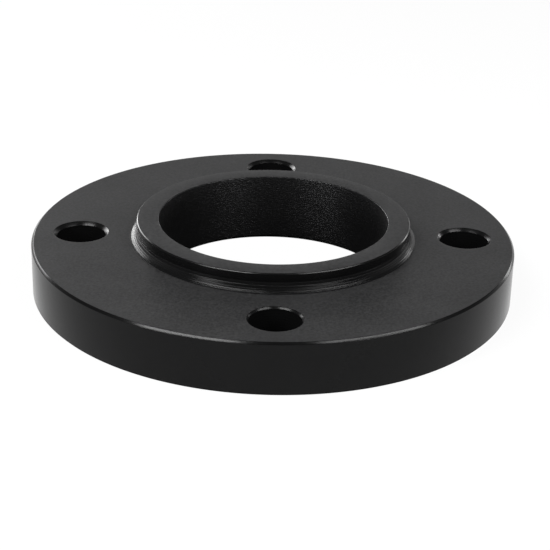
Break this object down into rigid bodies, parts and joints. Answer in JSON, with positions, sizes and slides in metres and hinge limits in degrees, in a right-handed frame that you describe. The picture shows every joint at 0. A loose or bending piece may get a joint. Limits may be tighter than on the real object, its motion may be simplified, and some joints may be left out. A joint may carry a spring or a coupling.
{
  "type": "slip on flange",
  "caption": "Round slip-on pipe flange with a low hub, a smooth bore for the pipe, a flat gasket face and holes for the flange bolts.",
  "frame": {"origin": "on the bore's axis, in the plane of the flat gasket face on the underside", "axes": "+Z along the bore from the gasket face to the hub's end, +X through the first bolt hole"},
  "size_m": [0.1906, 0.1906, 0.0281],
  "materials": {
    "black_paint": "satin black paint over turned forged steel"
  },
  "bodies": {
    "root": {"flange": "black_paint"}
  },
  "joints": []
}
